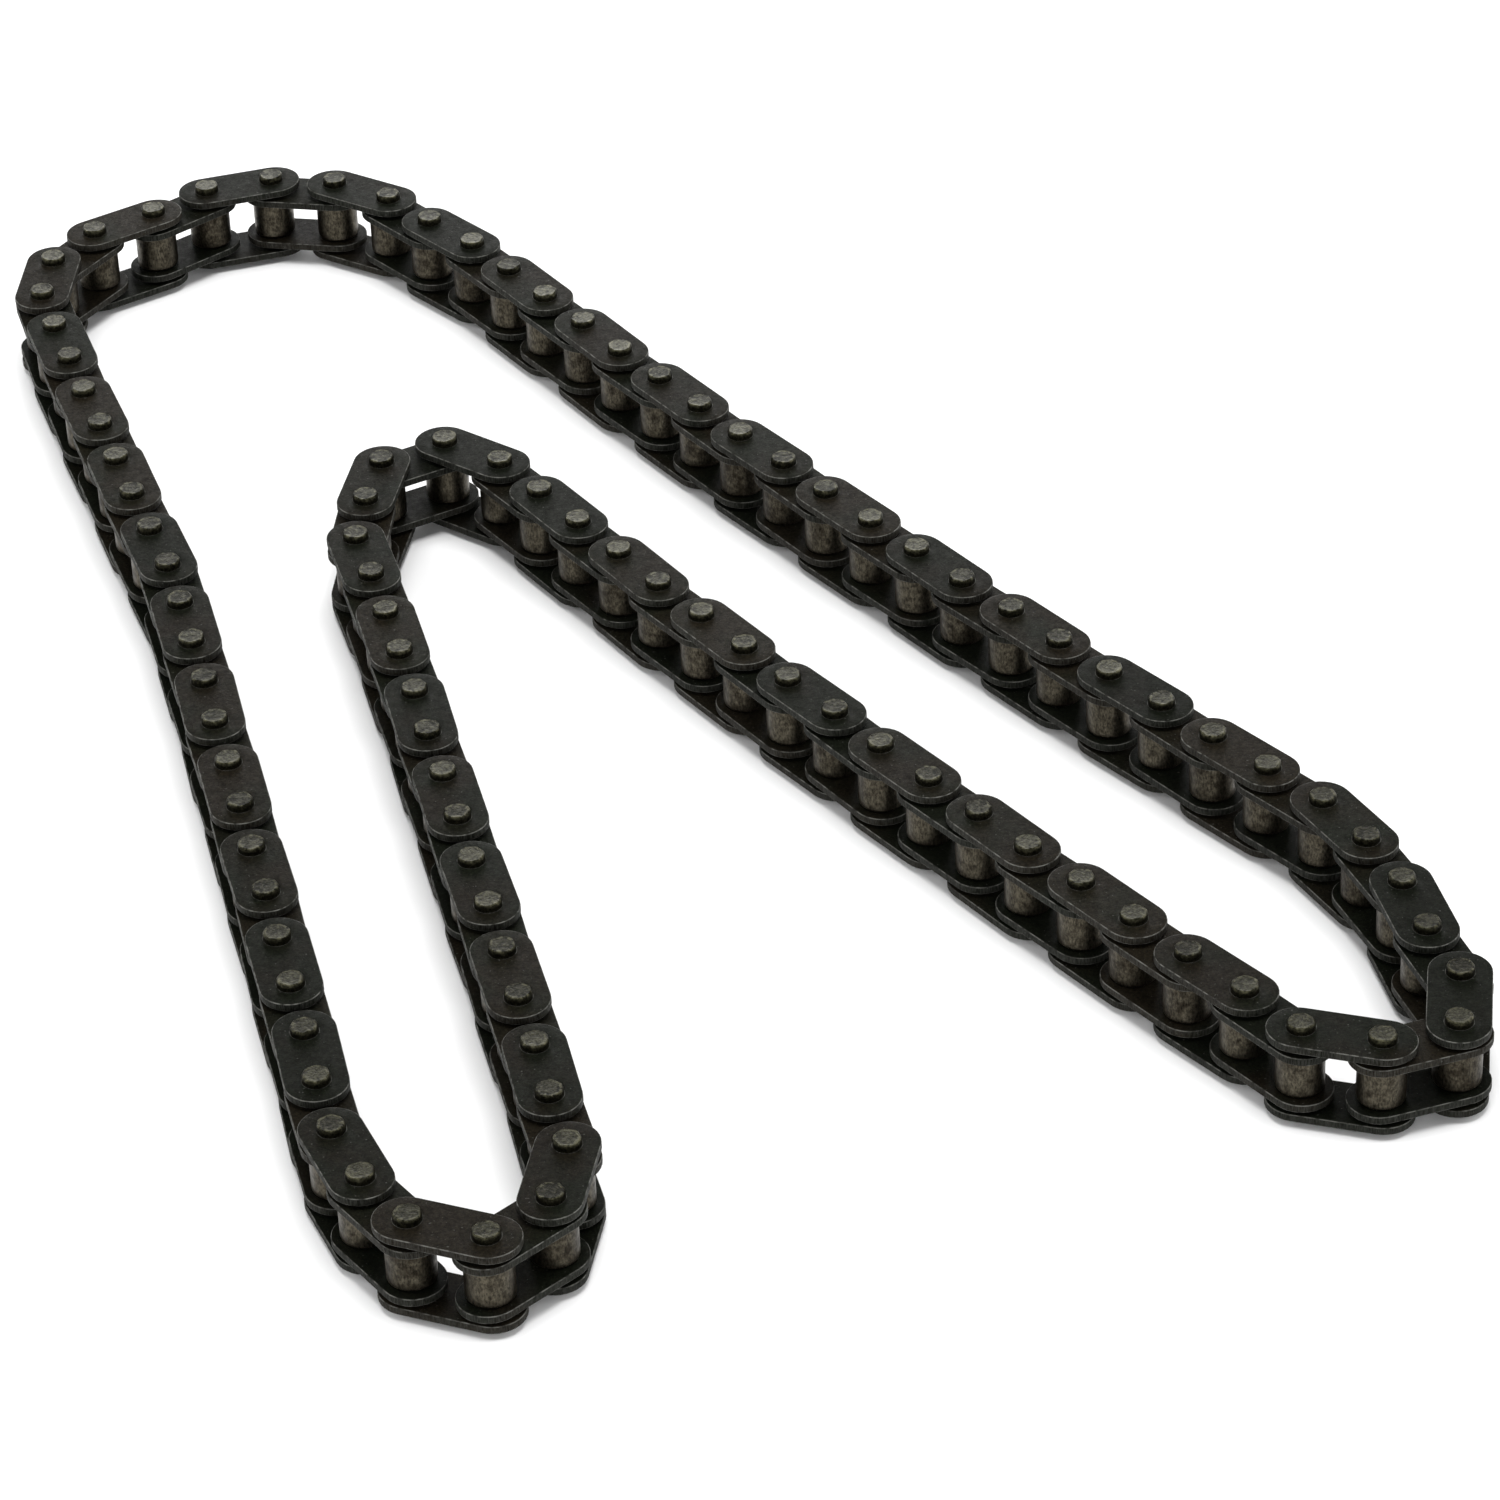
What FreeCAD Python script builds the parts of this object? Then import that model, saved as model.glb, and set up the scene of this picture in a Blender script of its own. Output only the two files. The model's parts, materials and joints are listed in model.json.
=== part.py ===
"""Roller drive chain for a small motorcycle: an endless loop lying on its side.

Roller links (two inner plates on two bushes, with two rollers) alternate with pin links (two
outer plates on two pins). One master of each kind of piece is drawn, and copies of it are set
along the loop. Lengths are millimetres. Headings are degrees, anticlockwise from +X seen from
above. The loop runs clockwise and stands on the lower ends of its pins.
"""
import FreeCAD, Part
import cmath
import math
import os

import Sketcher
from FreeCAD import Placement, Rotation, Vector

# Alias, value, meaning.
DRIVING_SIZES = (
    ("pitch", 8.0, "pin centre to pin centre"),
    ("plate_thick", 0.84, "every link plate"),
    ("plate_width", 6.4, "across the straight sides of a plate"),
    ("plate_end_radius", 3.45, "end of a plate, about the pin centre"),
    ("plate_edge", 0.12, "edge break of a plate"),
    ("inner_width", 4.84, "between the two inner plates"),
    ("side_gap", 0.48, "between an inner plate and its outer plate"),
    ("pin_dia", 2.85, "pin, pressed into the outer plates"),
    ("pin_long", 10.76, "pin, end to end"),
    ("pin_edge", 0.25, "riveted edge of a pin end"),
    ("bush_dia", 3.84, "bush, pressed into the inner plates"),
    ("bush_bore", 2.93, "bush bore, runs on the pin"),
    ("bush_long", 7.1, "bush, a little proud of the inner plates"),
    ("roller_dia", 4.9, "roller"),
    ("roller_bore", 3.94, "roller bore, runs on the bush"),
    ("roller_long", 4.64, "roller, a little shorter than the inner width"),
    ("roller_edge", 0.25, "edge break of a roller"),
    ("run_play", 1.2, "how far a link wanders from its run, in degrees"),
    ("right_run_heading", -54.5, "middle of the right outer run"),
    ("right_run_bow", 5.4, "how far each right run turns from end to end"),
    ("right_link_heading", -56.0, "single link above the right outer run"),
    ("left_run_heading", -78.1, "middle of the left inner run"),
    ("left_run_bow", -0.9, "how far each left run turns from end to end"),
    ("left_link_heading", -77.0, "single link above the left inner run"),
)

RIGHT_RUN_LINKS = 16
LEFT_RUN_LINKS = 12

# The bends, as the heading of each link in turn. The top bend is a side, a crown and a shoulder.
RIGHT_TIP = (-51, -51, -63, -70, -79, -73, -98, -163, -198)
MIDDLE_BEND = (-218, -152, -101, -96, -76)
LEFT_TIP = (-101, -138, -202, -235, -248)
TOP_SIDE = (-252, -252, -253, -253, -252, -254, -253, -255)
TOP_CROWN = (-275, -304, -328, -321, -345, -371, -393)
TOP_SHOULDER = (-410, -409)

# The roller link of each section whose two rollers are kept apart, so that they can spin.
FREE_ROLLER_LINKS = {
    "right_outer_link": 0,
    "right_tip": 7,
    "right_inner_link": 0,
    "left_inner_link": 0,
    "left_tip": 1,
    "left_outer_link": 0,
}


def make_sheet(doc):
    """The spreadsheet of driving sizes: alias, value and meaning in each row."""
    sheet = doc.addObject("Spreadsheet::Sheet", "sizes")
    for row, (alias, value, meaning) in enumerate(DRIVING_SIZES, start=1):
        sheet.set("A%d" % row, alias)
        sheet.set("B%d" % row, str(value))
        sheet.setAlias("B%d" % row, alias)
        sheet.set("C%d" % row, meaning)
    doc.recompute()
    return sheet


# ---- The route of the loop ----

def unit(heading):
    """A link's direction as a complex number, for a heading in degrees."""
    return cmath.rect(1.0, math.radians(heading))


def run_headings(middle, bow, play, links):
    """Headings of a nearly straight run, each link wandering a little."""
    bend = [bow * (i / (links - 1) - 0.5) for i in range(links)]
    return [middle + bend[i] + play * math.sin(2.4 * i) for i in range(links)]


def turned_back(headings):
    """The run that comes back beside this one: each link lies opposite to its partner."""
    return [heading - 180 for heading in reversed(headings)]


def close_loop(fixed, side, crown):
    """Turn the side and the crown of the top bend so that the whole loop closes.

    The side, the crown and the rest of the loop are three bars of a triangle.
    """
    rest = -sum(unit(heading) for heading in fixed)
    side_bar = sum(unit(heading) for heading in side)
    crown_bar = sum(unit(heading) for heading in crown)
    reach, a, b = abs(rest), abs(side_bar), abs(crown_bar)
    corner = math.acos((a * a + reach * reach - b * b) / (2 * a * reach))
    new_side = cmath.rect(a, cmath.phase(rest) + corner)
    side_turn = math.degrees(cmath.phase(new_side / side_bar))
    crown_turn = math.degrees(cmath.phase((rest - new_side) / crown_bar))
    return [heading + side_turn for heading in side], [heading + crown_turn for heading in crown]


def lay_out(sheet):
    """Each section's name and link headings, in order round the loop."""
    right_run = run_headings(sheet.right_run_heading, sheet.right_run_bow, sheet.run_play,
                             RIGHT_RUN_LINKS)
    left_run = run_headings(sheet.left_run_heading, sheet.left_run_bow, sheet.run_play,
                            LEFT_RUN_LINKS)
    bends = RIGHT_TIP + MIDDLE_BEND + LEFT_TIP + TOP_SHOULDER
    side, crown = close_loop(bends, TOP_SIDE, TOP_CROWN)
    return (
        ("right_outer_link", [sheet.right_link_heading]),
        ("right_outer_run", right_run),
        ("right_tip", RIGHT_TIP),
        ("right_inner_run", turned_back(right_run)),
        ("right_inner_link", turned_back([sheet.right_link_heading])),
        ("middle_bend", MIDDLE_BEND),
        ("left_inner_link", [sheet.left_link_heading]),
        ("left_inner_run", left_run),
        ("left_tip", LEFT_TIP),
        ("left_outer_run", turned_back(left_run)),
        ("left_outer_link", turned_back([sheet.left_link_heading])),
        ("top_bend", side + crown + list(TOP_SHOULDER)),
    )


def walk_loop(sheet):
    """Every link in order: section, number in its section, first pin centre and heading."""
    links = []
    pin = 0j
    for section, headings in lay_out(sheet):
        for number, heading in enumerate(headings):
            links.append((section, number, pin, heading))
            pin += sheet.pitch * unit(heading)
    if abs(pin) > 1e-6:
        raise ValueError("the loop does not close")
    return links


# ---- Masters: one of each kind of piece, standing on the XY plane ----

def start_body(doc, label):
    """A body with a sketch on its own XY plane."""
    body = doc.addObject("PartDesign::Body", label)
    plane = next(item for item in body.Origin.OriginFeatures if item.Role == "XY_Plane")
    sketch = body.newObject("Sketcher::SketchObject", label + "_outline")
    sketch.AttachmentSupport = [(plane, "")]
    sketch.MapMode = "FlatFace"
    return body, sketch


def add_dimension(sketch, expression, *constraint):
    """Add a dimension to a sketch and tie it to the sheet."""
    index = sketch.addConstraint(Sketcher.Constraint(*constraint))
    sketch.setExpression("Constraints[%d]" % index, expression)


def add_centre_circle(sketch, diameter, expression):
    """A circle about the sketch's origin."""
    circle = Part.Circle(Vector(), Vector(0, 0, 1), diameter / 2)
    index = sketch.addGeometry(circle, False)
    sketch.addConstraint(Sketcher.Constraint("Coincident", index, 3, -1, 1))
    add_dimension(sketch, expression, "Diameter", index, diameter)
    return index


def pad_outline(body, sketch, length):
    """Pad the outline upwards by a length given as an expression."""
    pad = body.newObject("PartDesign::Pad", body.Name + "_pad")
    pad.Profile = sketch
    pad.setExpression("Length", length)
    body.Document.recompute()
    return pad


def break_edges(body, pad, bore, size):
    """Chamfer the rims of both end faces, but not the rims of a bore."""
    top = pad.Shape.BoundBox.ZMax
    rims = []
    for number, edge in enumerate(pad.Shape.Edges, start=1):
        low, high = edge.BoundBox.ZMin, edge.BoundBox.ZMax
        on_end = high < 1e-6 or low > top - 1e-6
        on_bore = isinstance(edge.Curve, Part.Circle) and edge.Curve.Radius < bore / 2 + 1e-6
        if on_end and not on_bore:
            rims.append("Edge%d" % number)
    chamfer = body.newObject("PartDesign::Chamfer", body.Name + "_edges")
    chamfer.Base = (pad, rims)
    chamfer.setExpression("Size", size)
    body.Document.recompute()


def make_plate(doc, sheet, label, hole):
    """A straight-sided link plate with round ends, and a hole at each pin centre."""
    body, sketch = start_body(doc, label)
    up = Vector(0, 0, 1)
    far = Vector(sheet.pitch, 0, 0)
    radius, half_width = sheet.plate_end_radius, sheet.plate_width / 2
    spread = math.asin(half_width / radius)
    shoulder = radius * math.cos(spread)
    near_end = Part.ArcOfCircle(Part.Circle(Vector(), up, radius), math.pi - spread, math.pi + spread)
    far_end = Part.ArcOfCircle(Part.Circle(far, up, radius), -spread, spread)
    lower = Part.LineSegment(Vector(-shoulder, -half_width, 0),
                             Vector(sheet.pitch + shoulder, -half_width, 0))
    upper = Part.LineSegment(Vector(sheet.pitch + shoulder, half_width, 0),
                             Vector(-shoulder, half_width, 0))
    sketch.addGeometry([near_end, lower, far_end, upper], False)
    for first, second in ((0, 1), (1, 2), (2, 3), (3, 0)):
        sketch.addConstraint(Sketcher.Constraint("Coincident", first, 2, second, 1))
    sketch.addConstraint(Sketcher.Constraint("Coincident", 0, 3, -1, 1))
    sketch.addConstraint(Sketcher.Constraint("PointOnObject", 2, 3, -1))
    sketch.addConstraint(Sketcher.Constraint("Horizontal", 1))
    sketch.addConstraint(Sketcher.Constraint("Horizontal", 3))
    sketch.addConstraint(Sketcher.Constraint("Equal", 0, 2))
    sketch.addConstraint(Sketcher.Constraint("Symmetric", 0, 1, 0, 2, -1))
    add_dimension(sketch, "sizes.plate_end_radius", "Radius", 0, radius)
    add_dimension(sketch, "sizes.plate_width", "DistanceY", 0, 2, 0, 1, sheet.plate_width)
    add_dimension(sketch, "sizes.pitch", "DistanceX", -1, 1, 2, 3, sheet.pitch)

    near_hole = add_centre_circle(sketch, sheet.get(hole), "sizes." + hole)
    far_hole = sketch.addGeometry(Part.Circle(far, up, sheet.get(hole) / 2), False)
    sketch.addConstraint(Sketcher.Constraint("Coincident", far_hole, 3, 2, 3))
    sketch.addConstraint(Sketcher.Constraint("Equal", near_hole, far_hole))

    pad = pad_outline(body, sketch, "sizes.plate_thick")
    break_edges(body, pad, sheet.get(hole), "sizes.plate_edge")
    return body


def make_pin(doc):
    """A plain pin with a riveted edge at each end."""
    body, sketch = start_body(doc, "pin")
    add_centre_circle(sketch, doc.sizes.pin_dia, "sizes.pin_dia")
    pad = pad_outline(body, sketch, "sizes.pin_long")
    break_edges(body, pad, 0, "sizes.pin_edge")
    return body


def make_bush(doc):
    """A plain tube."""
    body, sketch = start_body(doc, "bush")
    add_centre_circle(sketch, doc.sizes.bush_dia, "sizes.bush_dia")
    add_centre_circle(sketch, doc.sizes.bush_bore, "sizes.bush_bore")
    pad_outline(body, sketch, "sizes.bush_long")
    return body


def make_roller(doc):
    """A tube with broken outer edges."""
    body, sketch = start_body(doc, "roller")
    add_centre_circle(sketch, doc.sizes.roller_dia, "sizes.roller_dia")
    add_centre_circle(sketch, doc.sizes.roller_bore, "sizes.roller_bore")
    pad = pad_outline(body, sketch, "sizes.roller_long")
    break_edges(body, pad, doc.sizes.roller_bore, "sizes.roller_edge")
    return body


# ---- The nodes: groups of copies along the loop ----

def piece_levels(sheet):
    """Height of the underside of each kind of piece, for a pin that stands on the floor."""
    middle = sheet.pin_long / 2
    inner_face = sheet.inner_width / 2
    outer_face = inner_face + sheet.plate_thick + sheet.side_gap
    return {
        "outer_plates": (middle - outer_face - sheet.plate_thick, middle + outer_face),
        "inner_plates": (middle - inner_face - sheet.plate_thick, middle + inner_face),
        "pins": (0.0,),
        "bushes": (middle - sheet.bush_long / 2,),
        "rollers": (middle - sheet.roller_long / 2,),
    }


def sort_pieces(links, sheet):
    """Placement of every piece, gathered by node name."""
    levels = piece_levels(sheet)
    nodes = {}

    def add(node, kind, centre, heading):
        for level in levels[kind]:
            spot = Vector(centre.real, centre.imag, level)
            place = Placement(spot, Rotation(Vector(0, 0, 1), heading))
            nodes.setdefault(node, (kind, []))[1].append(place)

    for order, (section, number, near, heading) in enumerate(links):
        far = near + sheet.pitch * unit(heading)
        if order % 2:
            add(section + "_outer_plates", "outer_plates", near, heading)
            add(section + "_pins", "pins", near, heading)
            add(section + "_pins", "pins", far, heading)
            continue
        free = FREE_ROLLER_LINKS.get(section) == number
        add(section + "_inner_plates", "inner_plates", near, heading)
        for centre, end in ((near, "a"), (far, "b")):
            add(section + "_bushes", "bushes", centre, heading)
            add(section + ("_roller_" + end if free else "_rollers"), "rollers", centre, heading)
    return nodes


def make_nodes(doc, masters, nodes):
    """One compound of linked copies for each node, moved so the loop is centred on the origin."""
    compounds = []
    for name, (kind, places) in nodes.items():
        copies = []
        for place in places:
            copy = doc.addObject("App::Link", name + "_copy")
            copy.LinkedObject = masters[kind]
            copy.Placement = place
            copies.append(copy)
        compound = doc.addObject("Part::Compound", name)
        compound.Label = name
        compound.Links = copies
        compounds.append(compound)
    doc.recompute()

    box = FreeCAD.BoundBox()
    for compound in compounds:
        box.add(compound.Shape.BoundBox)
    for compound in compounds:
        compound.Placement = Placement(Vector(-box.Center.x, -box.Center.y, 0), Rotation())
    doc.recompute()
    return compounds


def check_document(doc, compounds, nodes):
    """Stop if an object failed, or a node is empty, invalid or short of a piece."""
    for item in doc.Objects:
        if {"Invalid", "Error"} & set(item.State):
            raise RuntimeError(item.Label + " failed to build")
    for compound in compounds:
        shape = compound.Shape
        if shape.isNull() or not shape.isValid():
            raise RuntimeError(compound.Label + " has no valid shape")
        if len(shape.Solids) != len(nodes[compound.Label][1]):
            raise RuntimeError(compound.Label + " has lost a piece")


def main():
    """Build the document, check it and write one STEP file for each node."""
    doc = FreeCAD.newDocument("drive_chain")
    sheet = make_sheet(doc)
    masters = {
        "outer_plates": make_plate(doc, sheet, "outer_plate", "pin_dia"),
        "inner_plates": make_plate(doc, sheet, "inner_plate", "bush_dia"),
        "pins": make_pin(doc),
        "bushes": make_bush(doc),
        "rollers": make_roller(doc),
    }
    nodes = sort_pieces(walk_loop(sheet), sheet)
    compounds = make_nodes(doc, masters, nodes)
    check_document(doc, compounds, nodes)

    os.makedirs("parts", exist_ok=True)
    for compound in compounds:
        compound.Shape.exportStep(os.path.join("parts", compound.Label + ".step"))
    print("%d nodes, %d pieces" % (len(nodes), sum(len(places) for _, places in nodes.values())))
    return doc


if __name__ == "__main__":
    main()
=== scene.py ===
import json
import math
import random

import bmesh
import bpy
from mathutils import Matrix, Vector


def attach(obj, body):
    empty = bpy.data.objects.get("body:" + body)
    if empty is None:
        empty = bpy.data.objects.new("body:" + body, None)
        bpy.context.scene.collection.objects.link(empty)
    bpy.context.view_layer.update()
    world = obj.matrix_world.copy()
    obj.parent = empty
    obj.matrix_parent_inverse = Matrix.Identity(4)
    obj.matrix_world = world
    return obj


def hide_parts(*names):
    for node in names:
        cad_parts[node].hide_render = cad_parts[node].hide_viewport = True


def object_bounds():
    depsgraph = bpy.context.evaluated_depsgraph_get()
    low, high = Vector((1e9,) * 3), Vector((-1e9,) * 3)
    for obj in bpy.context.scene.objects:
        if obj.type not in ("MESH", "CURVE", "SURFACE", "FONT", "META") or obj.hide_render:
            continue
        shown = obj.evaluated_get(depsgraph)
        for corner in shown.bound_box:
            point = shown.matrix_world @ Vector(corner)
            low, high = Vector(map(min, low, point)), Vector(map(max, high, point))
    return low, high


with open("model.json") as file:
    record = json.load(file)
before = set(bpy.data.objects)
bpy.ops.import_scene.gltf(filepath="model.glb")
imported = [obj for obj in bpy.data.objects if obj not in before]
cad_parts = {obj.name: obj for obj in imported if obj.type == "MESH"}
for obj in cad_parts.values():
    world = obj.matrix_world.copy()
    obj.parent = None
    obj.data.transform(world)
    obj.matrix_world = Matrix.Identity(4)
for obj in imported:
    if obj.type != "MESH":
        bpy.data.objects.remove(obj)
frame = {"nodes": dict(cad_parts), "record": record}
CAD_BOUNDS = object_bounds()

bl_info = {
    "name": "Roller Drive Chain",
    "version": (1, 0, 0),
    "blender": (4, 5, 0),
    "location": "View3D > Sidebar > Drive Chain",
    "description": "Detailed plates, pins, bushes and rollers for a motorcycle drive chain",
    "category": "Add Mesh",
}

MM = 0.001
BODIES = frame["record"]["behaviour"]["bodies"]
WELD = 1e-6                       # CAD points nearer than this are one point
SEAM = 1e-7                       # and so are points where a plate's two halves meet
CORNER = math.radians(60)         # edges steeper than this are a plate's corners
CRISP = math.radians(40)          # edges steeper than this are shaded as sharp
FLAT, SIDE, RIM = 0.0, 0.5, 1.0   # the kind of a face: open surface, cut side, worn edge; edges and plate sides also get a painted highlight, and steel walls a painted shade
RIM_SHINE = 1.9                   # how much brighter than bare steel an edge is: worn by rubbing, and a painted highlight


# ---- Reading the chain from the frame ----

def solids_of(node):
    """The corner points of each separate solid in a CAD node."""
    bm = bmesh.new()
    bm.from_mesh(frame["nodes"][node].data)
    bmesh.ops.remove_doubles(bm, verts=bm.verts, dist=WELD)
    seen, solids = set(), []
    for start in bm.verts:
        if start in seen:
            continue
        seen.add(start)
        island, queue = [], [start]
        while queue:
            vert = queue.pop()
            island.append(vert.co.copy())
            for edge in vert.link_edges:
                other = edge.other_vert(vert)
                if other not in seen:
                    seen.add(other)
                    queue.append(other)
        solids.append(island)
    bm.free()
    return solids


def span(points):
    """Lowest and highest corner of some points."""
    low = Vector([min(point[axis] for point in points) for axis in range(3)])
    high = Vector([max(point[axis] for point in points) for axis in range(3)])
    return low, high


def nodes_of_kind(kind):
    """Each node of one kind of piece, with the body it belongs to."""
    found = [(node, body) for body, nodes in BODIES.items() for node in nodes if kind in node]
    if not found:
        raise RuntimeError("the frame has no node of this kind: " + kind)
    return found


def undersides(node):
    """Middle of the underside of each solid in a node: the foot of a round one's axis."""
    places = []
    for points in solids_of(node):
        low, high = span(points)
        places.append(Vector(((low.x + high.x) / 2, (low.y + high.y) / 2, low.z)))
    return places


def ring_radii(points, foot):
    """Smallest and largest distance of some points from an upright axis."""
    reach = [math.hypot(point.x - foot.x, point.y - foot.y) for point in points]
    return min(reach), max(reach)


PIN_FEET = [foot for node, _ in nodes_of_kind("_pins") for foot in undersides(node)]


def between_pins(middle):
    """From one to the other of the two pins nearest to a point."""
    near, far = sorted(PIN_FEET, key=lambda foot: (foot.xy - middle.xy).length)[:2]
    return far.xy - near.xy


def plate_places(node):
    """Middle of the underside and heading of each plate, from the two pins through it."""
    places = []
    for middle in undersides(node):
        along = between_pins(middle)
        places.append((middle, math.atan2(along.y, along.x)))
    return places


def measure_plate(node):
    """Pitch, end radius, half width and thickness of the plates in a node."""
    points = solids_of(node)[0]
    low, high = span(points)
    middle, heading = plate_places(node)[0]
    pitch = between_pins(middle).length
    turned = [Matrix.Rotation(-heading, 3, "Z") @ (point - middle) for point in points]
    end_radius = max(point.x for point in turned) - pitch / 2
    half_width = max(point.y for point in turned)
    return pitch, end_radius, half_width, high.z - low.z


# ---- Sizes and colours that a user may change ----

def length_setting(name, description, default):
    """A length property."""
    return bpy.props.FloatProperty(name=name, description=description, default=default,
                                   min=0.0, precision=5, subtype="DISTANCE", unit="LENGTH")


def colour_setting(name, description, default):
    """A colour property."""
    return bpy.props.FloatVectorProperty(name=name, description=description, default=default,
                                         min=0.0, max=1.0, size=3, subtype="COLOR")


class ChainShape(bpy.types.PropertyGroup):
    """Edge details of the chain's pieces."""
    plate_roll: length_setting("Plate Roll", "Rounding of a plate's upper outline", 0.08 * MM)
    plate_burr: length_setting("Plate Burr", "Rounding of a plate's lower outline and holes", 0.08 * MM)
    rivet_drop: length_setting("Rivet Drop", "Height of the beaten edge of a pin end", 0.30 * MM)
    rivet_inset: length_setting("Rivet Inset", "How far the beaten edge comes in", 0.10 * MM)
    roller_round: length_setting("Roller Round", "Rounding of a roller's outer edges", 0.32 * MM)
    bush_round: length_setting("Bush Round", "Rounding of a bush's ends", 0.10 * MM)


class ChainColours(bpy.types.PropertyGroup):
    """Finish colours of the chain and its stage."""
    plate_warm: colour_setting("Plate Warm", "Brown-black tone of the plates", (0.0060, 0.0048, 0.0030))
    plate_cool: colour_setting("Plate Cool", "Green-black tone of the plates", (0.0041, 0.0050, 0.0030))
    # plate_worn_and_highlight colours worn edges and specks, and is also a painted highlight on plate
    # edges and sheared sides
    plate_worn_and_highlight: colour_setting("Plate Worn", "Rubbed edges of the plates", (0.115, 0.115, 0.105))
    pin_end: colour_setting("Pin End", "Bare steel of the pins", (0.0345, 0.0330, 0.0205))
    pin_stain: colour_setting("Pin Stain", "Stained patches of the pins", (0.0085, 0.0081, 0.0050))
    roller_bare: colour_setting("Roller Bare", "Bare steel of the rollers", (0.0630, 0.0555, 0.0405))
    roller_oiled: colour_setting("Roller Oiled", "Brown oil film on the rollers", (0.0245, 0.0203, 0.0142))
    bush: colour_setting("Bush", "Steel of the bushes", (0.07, 0.062, 0.05))
    floor: colour_setting("Floor", "Pale floor", (0.86, 0.86, 0.86))


# ---- Mesh making ----

ROUND_STEPS = 9                   # facets in each quarter turn of a plate's round end
STRAIGHT_STEPS = 5                # facets along half a plate's straight side
MIDDLE_STEPS = 3                  # facets across half a plate's width, where its halves meet
RING_SHARES = (0.0, 0.45, 1.0)    # rings of points from a hole's rim out to the outline
NEAR_HOLE = 1.05                  # an edge within this many hole radii is the hole's own
NEAR_TOP = 0.9                    # an edge above this share of the thickness is an upper one
LEVEL = 0.995                     # faces at least this level are open surface
UPRIGHT = 0.05                    # and faces less level than this are cut side
EDGE_STEPS = 3                    # facets round the edge of a bush or roller
BORE_ROUND = 0.06 * MM            # slope at each end of a bush's or roller's bore
PIN_FACETS = 28
BUSH_FACETS = 24
ROLLER_FACETS = 36
OUTER_PLATE_SEED = 11
INNER_PLATE_SEED = 12
PIN_SEED = 21
BUSH_SEED = 31
ROLLER_SEED = 41
BLOWS = (6, 7, 8)                 # flats that riveting may leave round a pin end
BLOW_SCATTER = 0.22               # how far a flat strays from its even place
BLOW_REACH = (0.87, 0.965)        # how far out a flat stays, as a share of the radius
BLOW_FACING = 0.6                 # a flat cuts points that face it by this cosine or more


def lathe(profile, bands, segments, shape=None):
    """Turn a profile of (radius, height) points about the Z axis, with the kind of face of each band.

    A profile that starts and ends on the axis is solid, and any other closes on itself. The shape
    function may move a point: it gets its radius, height and angle, and gives the new radius.
    """
    verts, faces, face_kind, rows = [], [], [], []
    for radius, height in profile:
        if radius == 0:
            verts.append((0.0, 0.0, height))
            rows.append([len(verts) - 1] * segments)
            continue
        row = []
        for step in range(segments):
            angle = 2 * math.pi * step / segments
            reach = shape(radius, height, angle) if shape else radius
            row.append(len(verts))
            verts.append((reach * math.cos(angle), reach * math.sin(angle), height))
        rows.append(row)
    for band, low in enumerate(rows[:len(bands)]):
        high = rows[(band + 1) % len(rows)]
        for step in range(segments):
            after = (step + 1) % segments
            ring = (low[step], low[after], high[after], high[step])
            faces.append(tuple(dict.fromkeys(ring)))
            face_kind.append(bands[band])
    return verts, faces, face_kind


def quarter_round(radius, height, size, turn_from, steps):
    """Profile points round a corner at a radius and height, from a first angle."""
    middle = turn_from + math.pi / 4
    centre = (radius - size * math.copysign(1, math.cos(middle)),
              height - size * math.copysign(1, math.sin(middle)))
    return [(centre[0] + size * math.cos(turn_from + math.pi / 2 * step / steps),
             centre[1] + size * math.sin(turn_from + math.pi / 2 * step / steps))
            for step in range(steps + 1)]


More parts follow.
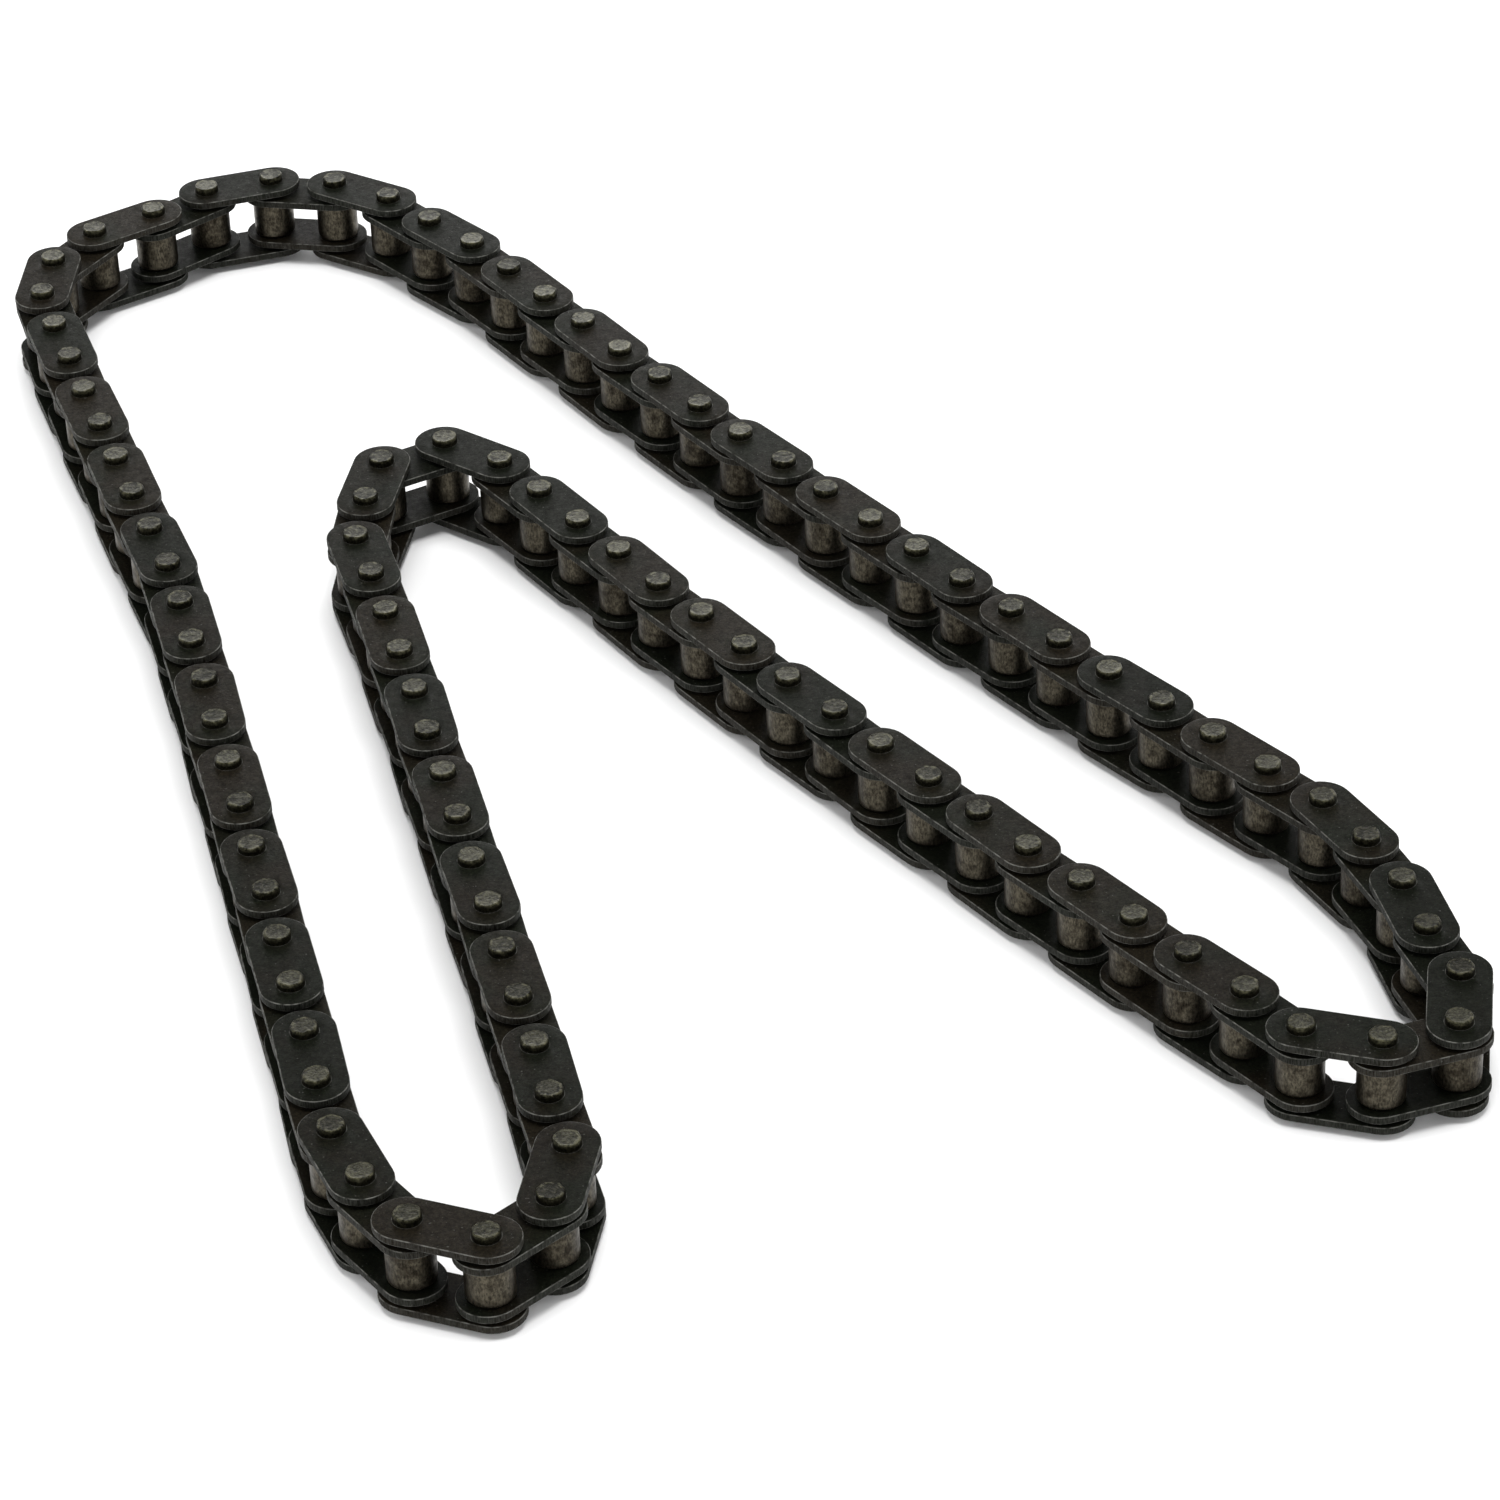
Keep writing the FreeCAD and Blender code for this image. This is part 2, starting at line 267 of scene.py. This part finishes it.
def plate_mesh(pitch, end_radius, half_width, thickness, hole, roll, burr):
    """One link plate about its middle: round ends, straight sides and two holes."""
    half = pitch / 2
    shoulder = end_radius - half_width   # the round end's centre, out beyond the hole
    outline = []
    for step in range(ROUND_STEPS + 1):
        angle = math.pi / 2 * step / ROUND_STEPS
        outline.append((shoulder + half_width * math.cos(angle), half_width * math.sin(angle)))
    outline += [(shoulder - (shoulder + half) * step / STRAIGHT_STEPS, half_width)
                for step in range(1, STRAIGHT_STEPS + 1)]
    outline += [(-half, half_width * step / MIDDLE_STEPS)
                for step in reversed(range(MIDDLE_STEPS))]
    outline += [(x, -y) for x, y in reversed(outline[1:-1])]

    bm = bmesh.new()
    for side in (1, -1):
        rings = []
        for share in RING_SHARES:
            ring = []
            for x, y in outline:
                reach = math.hypot(x, y)
                r = hole + (reach - hole) * share
                ring.append(bm.verts.new((side * (half + x * r / reach), y * r / reach, 0)))
            rings.append(ring)
        count = len(outline)
        for inner, outer in zip(rings, rings[1:]):
            for step in range(count):
                after = (step + 1) % count
                quad = (inner[step], outer[step], outer[after], inner[after])
                bm.faces.new(quad if side > 0 else quad[::-1])
    bmesh.ops.remove_doubles(bm, verts=bm.verts, dist=SEAM)
    raised = bmesh.ops.extrude_face_region(bm, geom=bm.faces[:])
    lifted = [item for item in raised["geom"] if isinstance(item, bmesh.types.BMVert)]
    bmesh.ops.translate(bm, verts=lifted, vec=(0, 0, thickness))
    bmesh.ops.recalc_face_normals(bm, faces=bm.faces)

    def corners(upper_outline):
        """The corner edges of the upper outline, or all the others."""
        found = []
        for edge in bm.edges:
            if len(edge.link_faces) != 2 or edge.calc_face_angle() < CORNER:
                continue
            middle = (edge.verts[0].co + edge.verts[1].co) / 2
            on_hole = math.hypot(abs(middle.x) - half, middle.y) < hole * NEAR_HOLE
            if (middle.z > thickness * NEAR_TOP and not on_hole) == upper_outline:
                found.append(edge)
        return found

    bmesh.ops.bevel(bm, geom=corners(True), offset=roll, segments=3, profile=0.5, affect="EDGES")
    bmesh.ops.bevel(bm, geom=corners(False), offset=burr, segments=2, profile=0.5, affect="EDGES")
    bm.normal_update()
    bm.verts.index_update()
    verts = [tuple(vert.co) for vert in bm.verts]
    faces = [tuple(vert.index for vert in face.verts) for face in bm.faces]
    face_kind = []
    for face in bm.faces:
        flatness = abs(face.normal.z)
        face_kind.append(FLAT if flatness > LEVEL else SIDE if flatness < UPRIGHT else RIM)
    bm.free()
    return verts, faces, face_kind


def tube_mesh(bore, radius, length, outer_round, segments):
    """A bush or roller standing on the XY plane, with rounded edges."""
    profile = quarter_round(radius, 0, outer_round, -math.pi / 2, EDGE_STEPS)
    profile += quarter_round(radius, length, outer_round, 0, EDGE_STEPS)
    profile += [(bore + BORE_ROUND, length), (bore, length - BORE_ROUND),
                (bore, BORE_ROUND), (bore + BORE_ROUND, 0)]
    edge = [RIM] * EDGE_STEPS
    bands = edge + [SIDE] + edge + [FLAT, RIM, SIDE, RIM, FLAT]
    return lathe(profile, bands, segments)


def pin_mesh(radius, length, drop, inset, dice):
    """A pin standing on the XY plane, each end beaten to an uneven, many-sided edge."""
    blows = dice.choice(BLOWS)
    phase = dice.uniform(0, 2 * math.pi)
    flats = [(phase + 2 * math.pi * (blow + dice.uniform(-BLOW_SCATTER, BLOW_SCATTER)) / blows,
              dice.uniform(*BLOW_REACH)) for blow in range(blows)]

    def beaten(reach, height, angle):
        """Cut a point back to the flats, less and less away from the pin's ends."""
        share = max(0.0, 1 - min(height, length - height) / drop)
        cut = min([1.0] + [inner / math.cos(angle - facing) for facing, inner in flats
                           if math.cos(angle - facing) > BLOW_FACING])
        return reach * (1 - share * (1 - cut))

    # From the axis over the slightly hollow end, round the beaten edge and up the side.
    edge = radius - inset
    end = [(0, 0.08 * drop), (edge * 0.5, 0.07 * drop), (edge * 0.8, 0.05 * drop), (edge, 0),
           (radius - inset * 0.3, 0.3 * drop), (radius, 0.8 * drop), (radius, 1.6 * drop)]
    bands = [FLAT, FLAT, RIM, RIM, SIDE, SIDE]
    profile = end + [(reach, length - height) for reach, height in reversed(end)]
    return lathe(profile, bands + [SIDE] + bands[::-1], PIN_FACETS, beaten)


def add_piece(name, copies, material, node, body):
    """Join placed copies into one object that stands for a CAD node and rides on its body.

    Each copy is a mesh (verts, faces, wear), its matrix and its tone.
    """
    verts, faces, face_kinds, tones = [], [], [], []
    for (points, polygons, face_kind), matrix, tone in copies:
        base = len(verts)
        verts += [matrix @ Vector(point) for point in points]
        faces += [tuple(base + corner for corner in polygon) for polygon in polygons]
        face_kinds += face_kind
        tones += [tone] * len(polygons)
    mesh = bpy.data.meshes.new(name)
    mesh.from_pydata(verts, [], faces)
    for label, values in (("face_kind", face_kinds), ("tone", tones)):
        attribute = mesh.attributes.new(label, "FLOAT", "FACE")
        attribute.data.foreach_set("value", values)
    mesh.shade_smooth()
    mesh.set_sharp_from_angle(angle=CRISP)
    mesh.update()
    mesh.validate()
    mesh.materials.append(material)
    piece = bpy.data.objects.new(name, mesh)
    bpy.context.scene.collection.objects.link(piece)
    piece.modifiers.new("even_shading", "WEIGHTED_NORMAL").keep_sharp = True
    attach(piece, body)
    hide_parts(node)


def stand(foot, turn=0.0):
    """Matrix that stands a mesh on a point, turned about the upright axis."""
    return Matrix.Translation(foot) @ Matrix.Rotation(turn, 4, "Z")


# ---- Materials ----

class Nodes:
    """A material's node tree, built one node at a time."""

    def __init__(self, name):
        self.material = bpy.data.materials.new(name)
        self.material.use_nodes = True
        self.tree = self.material.node_tree
        self.tree.nodes.clear()
        self.where = self.add("ShaderNodeTexCoord").outputs["Object"]

    def add(self, kind, settings=None, **inputs):
        """Add a node, set its settings and fill or link its inputs, by name or as input_0."""
        node = self.tree.nodes.new(kind)
        for key, value in (settings or {}).items():
            setattr(node, key, value)
        for key, value in inputs.items():
            number = key.removeprefix("input_")
            socket = node.inputs[int(number) if number.isdigit() else key.replace("_", " ")]
            if isinstance(value, bpy.types.NodeSocket):
                self.tree.links.new(value, socket)
            else:
                socket.default_value = value
        return node

    def noise(self, size, detail=2.0, roughness=0.5, stretch=(1, 1, 1)):
        """Noise whose features are about the given size in metres."""
        placed = self.add("ShaderNodeMapping", Vector=self.where, Scale=stretch)
        return self.add("ShaderNodeTexNoise", Vector=placed.outputs[0], Scale=1 / size,
                        Detail=detail, Roughness=roughness).outputs["Fac"]

    def spread(self, value, low, high, to_low=0.0, to_high=1.0):
        """Map a range of a value onto another range."""
        return self.add("ShaderNodeMapRange", Value=value, From_Min=low, From_Max=high,
                        To_Min=to_low, To_Max=to_high).outputs[0]

    def maths(self, operation, a, b):
        """Combine two values."""
        return self.add("ShaderNodeMath", {"operation": operation},
                        input_0=a, input_1=b).outputs[0]

    def blend(self, factor, a, b, kind="MIX"):
        """Mix two colours."""
        a, b = (value if isinstance(value, bpy.types.NodeSocket) else (*value, 1.0)
                for value in (a, b))
        return self.add("ShaderNodeMix", {"data_type": "RGBA", "blend_type": kind},
                        input_0=factor, input_6=a, input_7=b).outputs[2]

    def darken(self, colour, shade):
        """Multiply a colour by a value."""
        grey = self.add("ShaderNodeCombineColor", Red=shade, Green=shade, Blue=shade)
        return self.blend(1.0, colour, grey.outputs[0], "MULTIPLY")

    def attribute(self, name):
        """A value stored on the mesh."""
        return self.add("ShaderNodeAttribute", {"attribute_name": name}).outputs["Fac"]

    def bump(self, value, height, normal=None):
        """Raise the surface by a value times a height in metres."""
        node = self.add("ShaderNodeBump", Height=value, Distance=height, Strength=1.0)
        if normal:
            self.tree.links.new(normal, node.inputs["Normal"])
        return node.outputs[0]

    def shade(self, colour, roughness, normal, **constants):
        """Finish with one surface shader."""
        shader = self.add("ShaderNodeBsdfPrincipled", Base_Color=colour, Roughness=roughness,
                          Normal=normal, **constants)
        self.add("ShaderNodeOutputMaterial", Surface=shader.outputs[0])
        return self.material


def plate_material(name, colours):
    """Black-oxide plate: satin grain, warm and cool patches, edges lightened as worn and as a painted
    highlight, sheared sides lightened as striations and a painted sheen.
    """
    nodes = Nodes(name)
    face_kind, tone = nodes.attribute("face_kind"), nodes.attribute("tone")
    patches = nodes.maths("ADD", nodes.noise(7 * MM, 3), nodes.spread(tone, 0, 1, -0.2, 0.2))
    base = nodes.blend(nodes.spread(patches, 0.38, 0.62), colours.plate_cool, colours.plate_warm)
    grain = nodes.noise(0.28 * MM, 4, 0.75)
    cloud = nodes.noise(0.9 * MM, 4, 0.6)
    shade = nodes.maths("MULTIPLY", nodes.spread(grain, 0.3, 0.7, 0.15, 2.0),
                        nodes.spread(cloud, 0.3, 0.7, 0.8, 1.2))
    shade = nodes.maths("MULTIPLY", shade, nodes.spread(tone, 0, 1, 0.7, 1.3))
    base = nodes.darken(base, shade)
    specks = nodes.spread(nodes.noise(0.3 * MM, 1), 0.72, 0.78)
    base = nodes.blend(nodes.maths("MULTIPLY", specks, 0.35), base, colours.plate_worn_and_highlight)
    # sheared sides: striations, lightened towards the worn colour as a painted sheen
    shear = nodes.noise(0.12 * MM, 2, 0.6, (1, 1, 0.12))
    side = nodes.maths("MULTIPLY", nodes.spread(face_kind, 0.0, 0.5),
                       nodes.spread(shear, 0.35, 0.7, 0.0, 0.22))
    # edges: lightened partly as worn by rubbing and partly as a painted highlight
    worn_and_highlit_edges = nodes.maths("MULTIPLY", nodes.spread(face_kind, 0.5, 1.0),
                         nodes.spread(cloud, 0.38, 0.62, 0.1, 0.9))
    # sides and edges take the worn colour, partly worn and partly painted sheen and highlight
    bare = nodes.maths("MAXIMUM", side, worn_and_highlit_edges)
    base = nodes.blend(bare, base, colours.plate_worn_and_highlight)
    roughness = nodes.spread(nodes.maths("ADD", grain, cloud), 0.6, 1.4, 0.70, 0.42)
    normal = nodes.bump(grain, 0.032 * MM)
    normal = nodes.bump(cloud, 0.02 * MM, normal)
    return nodes.shade(base, roughness, normal, Specular_IOR_Level=0.05,
                       Specular_Tint=(1.0, 0.99, 0.88, 1.0))


def steel_material(name, bare, stained, mottle_size, grain_size, stretch, roughness, depth,
                   painted_wall_shade=1.0):
    """Bare steel with a mottled stain, fine grain, edges lightened partly as worn by rubbing and partly as
    a painted highlight, and upright walls darkened as a painted shade.

    Stretch makes the grain longer along an axis where it is under 1. Depth is how deep the grain goes, in
    metres, and painted_wall_shade how bright the upright walls are painted beside the open surfaces, a
    painted shade.
    """
    nodes = Nodes(name)
    face_kind, tone = nodes.attribute("face_kind"), nodes.attribute("tone")
    mottle = nodes.noise(mottle_size, 4, 0.65)
    lines = nodes.noise(grain_size, 3, 0.6, stretch)
    film = nodes.maths("ADD", mottle, nodes.spread(tone, 0, 1, -0.09, 0.09))
    stain = nodes.spread(film, 0.34, 0.62, 1.0, 0.0)
    base = nodes.blend(stain, bare, stained)
    base = nodes.darken(base, nodes.spread(lines, 0.3, 0.7, 0.35, 1.65))
    # edges: lightened partly as worn by rubbing and partly as a painted highlight
    edge = nodes.maths("MULTIPLY", nodes.spread(face_kind, 0.5, 1.0),
                       nodes.spread(mottle, 0.45, 0.6, 0.0, 0.9))
    base = nodes.blend(edge, base, tuple(channel * RIM_SHINE for channel in bare))
    # painted shade: the upright walls darkened by painted_wall_shade
    painted_wall_shade_mask = nodes.maths("MULTIPLY", nodes.spread(face_kind, 0.0, 0.5), nodes.spread(face_kind, 1.0, 0.5))
    base = nodes.darken(base, nodes.spread(painted_wall_shade_mask, 0.0, 1.0, 1.0, painted_wall_shade))
    rough = nodes.spread(film, 0.35, 0.65, roughness + 0.12, roughness - 0.08)
    normal = nodes.bump(lines, depth)
    normal = nodes.bump(mottle, depth * 1.5, normal)
    return nodes.shade(base, rough, normal, Metallic=1.0)


def floor_material(name, colour):
    """Plain pale floor with a trace of unevenness."""
    nodes = Nodes(name)
    cloud = nodes.noise(60 * MM, 2)
    base = nodes.blend(nodes.spread(cloud, 0.3, 0.7), colour,
                       tuple(channel * 0.985 for channel in colour))
    return nodes.shade(base, nodes.spread(cloud, 0.3, 0.7, 0.75, 0.85),
                       nodes.bump(cloud, 0.02 * MM), Specular_IOR_Level=0.1)


# ---- Operators ----

class DRIVECHAIN_OT_outer_plates(bpy.types.Operator):
    """Make the outer link plates"""
    bl_idname = "drivechain.outer_plates"
    bl_label = "Outer Plates"

    def execute(self, context):
        make_plates(context.scene, "outer_plates", "_pins", OUTER_PLATE_SEED)
        return {"FINISHED"}


class DRIVECHAIN_OT_inner_plates(bpy.types.Operator):
    """Make the inner link plates"""
    bl_idname = "drivechain.inner_plates"
    bl_label = "Inner Plates"

    def execute(self, context):
        make_plates(context.scene, "inner_plates", "_bushes", INNER_PLATE_SEED)
        return {"FINISHED"}


def make_plates(scene, kind, held, seed):
    """Plates of one kind, with holes that fit the pins or bushes pressed into them."""
    shape = scene.drive_chain_shape
    dice = random.Random(seed)
    material = plate_material("black_oxide_" + kind, scene.drive_chain_colours)
    held_node = nodes_of_kind(held)[0][0]
    hole = ring_radii(solids_of(held_node)[0], undersides(held_node)[0])[1]
    found = nodes_of_kind("_" + kind)
    mesh = plate_mesh(*measure_plate(found[0][0]), hole, shape.plate_roll, shape.plate_burr)
    for node, body in found:
        copies = [(mesh, stand(middle, heading), dice.random())
                  for middle, heading in plate_places(node)]
        add_piece(kind + "_of_" + body, copies, material, node, body)


class DRIVECHAIN_OT_pins(bpy.types.Operator):
    """Make the riveted pins"""
    bl_idname = "drivechain.pins"
    bl_label = "Pins"

    def execute(self, context):
        shape, colours = context.scene.drive_chain_shape, context.scene.drive_chain_colours
        dice = random.Random(PIN_SEED)
        # the pins' upright walls are darkened by 0.85 as a painted shade
        material = steel_material("riveted_pin_steel", colours.pin_end, colours.pin_stain,
                                  mottle_size=0.5 * MM, grain_size=0.26 * MM, stretch=(1, 1, 1),
                                  roughness=0.44, depth=0.04 * MM, painted_wall_shade=0.85)
        for node, body in nodes_of_kind("_pins"):
            copies = []
            for points, foot in zip(solids_of(node), undersides(node)):
                low, high = span(points)
                radius = ring_radii(points, foot)[1]
                mesh = pin_mesh(radius, high.z - low.z, shape.rivet_drop, shape.rivet_inset, dice)
                copies.append((mesh, stand(foot), dice.random()))
            add_piece("pins_of_" + body, copies, material, node, body)
        return {"FINISHED"}


class DRIVECHAIN_OT_bushes(bpy.types.Operator):
    """Make the bushes"""
    bl_idname = "drivechain.bushes"
    bl_label = "Bushes"

    def execute(self, context):
        shape, colours = context.scene.drive_chain_shape, context.scene.drive_chain_colours
        material = steel_material("bush_steel_surface", colours.bush, colours.roller_oiled,
                                  mottle_size=0.9 * MM, grain_size=0.15 * MM,
                                  stretch=(1, 1, 0.3), roughness=0.42, depth=0.008 * MM)
        make_tubes("_bushes", material, shape.bush_round, BUSH_FACETS, BUSH_SEED)
        return {"FINISHED"}


class DRIVECHAIN_OT_rollers(bpy.types.Operator):
    """Make the rollers"""
    bl_idname = "drivechain.rollers"
    bl_label = "Rollers"

    def execute(self, context):
        shape, colours = context.scene.drive_chain_shape, context.scene.drive_chain_colours
        material = steel_material("oiled_roller_steel", colours.roller_bare, colours.roller_oiled,
                                  mottle_size=0.9 * MM, grain_size=0.2 * MM,
                                  stretch=(1, 1, 0.45), roughness=0.42, depth=0.016 * MM)
        make_tubes("_roller", material, shape.roller_round, ROLLER_FACETS, ROLLER_SEED)
        return {"FINISHED"}


def make_tubes(kind, material, outer_round, segments, seed):
    """Bushes or rollers, each turned to its own angle."""
    dice = random.Random(seed)
    for node, body in nodes_of_kind(kind):
        copies = []
        for points, foot in zip(solids_of(node), undersides(node)):
            low, high = span(points)
            bore, radius = ring_radii(points, foot)
            mesh = tube_mesh(bore, radius, high.z - low.z, outer_round, segments)
            copies.append((mesh, stand(foot, dice.uniform(0, math.pi)), dice.random()))
        name = node if len(BODIES[body]) > 1 else body
        add_piece("turned_" + name, copies, material, node, body)


class DRIVECHAIN_OT_stage(bpy.types.Operator):
    """Set the floor, the lights and the camera"""
    bl_idname = "drivechain.stage"
    bl_label = "Stage"

    def execute(self, context):
        scene = context.scene
        low, high = CAD_BOUNDS
        add_floor(scene, low.z)
        add_lights(scene)
        add_camera(scene, (low + high) / 2, high.z)
        return {"FINISHED"}


FLOOR_SIZE = 6.0


def add_floor(scene, level):
    """A wide plane under the chain."""
    bpy.ops.mesh.primitive_plane_add(size=FLOOR_SIZE, location=(0, 0, level))
    floor = bpy.context.object
    floor.name = "pale_floor"
    floor.data.materials.append(floor_material("pale_floor_paint", scene.drive_chain_colours.floor))


LIGHTS = (   # name, place and size in metres, power in watts
    ("key_softbox", (0.05, -0.10, 1.30), 0.80, 19.0),
    ("fill_softbox", (-0.75, -0.35, 0.80), 0.80, 0.8),
    ("back_card", (0.0, 0.47, 0.17), 0.34, 1.5),
    ("left_card", (-0.47, 0.0, 0.17), 0.34, 1.2),
    ("right_card", (0.47, 0.0, 0.17), 0.34, 1.2),
    ("front_card", (0.0, -0.47, 0.17), 0.34, 0.8),
)
ROOM_GLOW = 0.22


def add_lights(scene):
    """A big soft key overhead, a faint fill, a low card on each side and a dim white room."""
    for name, place, size, power in LIGHTS:
        data = bpy.data.lights.new(name, "AREA")
        data.size = size
        data.energy = power
        lamp = bpy.data.objects.new(name, data)
        lamp.location = place
        lamp.visible_camera = False
        lamp.rotation_euler = (-Vector(place)).to_track_quat("-Z", "Y").to_euler()
        scene.collection.objects.link(lamp)
    world = bpy.data.worlds.new("white_room")
    world.use_nodes = True
    background = world.node_tree.nodes["Background"]
    background.inputs["Color"].default_value = (1.0, 1.0, 1.0, 1.0)
    background.inputs["Strength"].default_value = ROOM_GLOW
    scene.world = world
    scene.view_settings.view_transform = "Standard"


CAMERA_LENS = 137.4
CAMERA_DISTANCE = 0.5934
CAMERA_ELEVATION = math.radians(34.36)
CAMERA_ROLL = math.radians(-2.43)
CAMERA_AIM = Vector((0.0066, -0.0262))   # from the middle of the loop, at its upper face


def add_camera(scene, middle, top):
    """A long lens that looks along +Y and down on the chain."""
    aim = Vector((middle.x + CAMERA_AIM.x, middle.y + CAMERA_AIM.y, top))
    back = Vector((0, -math.cos(CAMERA_ELEVATION), math.sin(CAMERA_ELEVATION)))
    data = bpy.data.cameras.new("camera")
    data.lens = CAMERA_LENS
    data.sensor_width = 36.0
    data.clip_start = 0.01
    camera = bpy.data.objects.new("camera", data)
    upright = Matrix.Rotation(math.pi / 2 - CAMERA_ELEVATION, 4, "X")
    camera.matrix_world = (Matrix.Translation(aim + back * CAMERA_DISTANCE) @ upright
                           @ Matrix.Rotation(CAMERA_ROLL, 4, "Z"))
    scene.collection.objects.link(camera)
    scene.camera = camera


class DRIVECHAIN_PT_sidebar(bpy.types.Panel):
    """Drive chain steps in the sidebar"""
    bl_label = "Drive Chain"
    bl_idname = "DRIVECHAIN_PT_sidebar"
    bl_space_type = "VIEW_3D"
    bl_region_type = "UI"
    bl_category = "Drive Chain"

    def draw(self, context):
        layout = self.layout
        for operator in OPERATORS:
            layout.operator(operator.bl_idname)
        for group in (context.scene.drive_chain_shape, context.scene.drive_chain_colours):
            box = layout.box()
            for name in group.bl_rna.properties.keys():
                if name not in ("rna_type", "name"):
                    box.prop(group, name)


OPERATORS = (
    DRIVECHAIN_OT_outer_plates,
    DRIVECHAIN_OT_inner_plates,
    DRIVECHAIN_OT_pins,
    DRIVECHAIN_OT_bushes,
    DRIVECHAIN_OT_rollers,
    DRIVECHAIN_OT_stage,
)
CLASSES = (ChainShape, ChainColours, *OPERATORS, DRIVECHAIN_PT_sidebar)


def register():
    """Register the classes and give the scene their settings."""
    for item in CLASSES:
        bpy.utils.register_class(item)
    bpy.types.Scene.drive_chain_shape = bpy.props.PointerProperty(type=ChainShape)
    bpy.types.Scene.drive_chain_colours = bpy.props.PointerProperty(type=ChainColours)


def unregister():
    """Undo register."""
    del bpy.types.Scene.drive_chain_colours
    del bpy.types.Scene.drive_chain_shape
    for item in reversed(CLASSES):
        bpy.utils.unregister_class(item)


def main():
    """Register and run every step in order."""
    register()
    bpy.ops.drivechain.outer_plates()
    bpy.ops.drivechain.inner_plates()
    bpy.ops.drivechain.pins()
    bpy.ops.drivechain.bushes()
    bpy.ops.drivechain.rollers()
    bpy.ops.drivechain.stage()


if __name__ == "__main__":
    main()
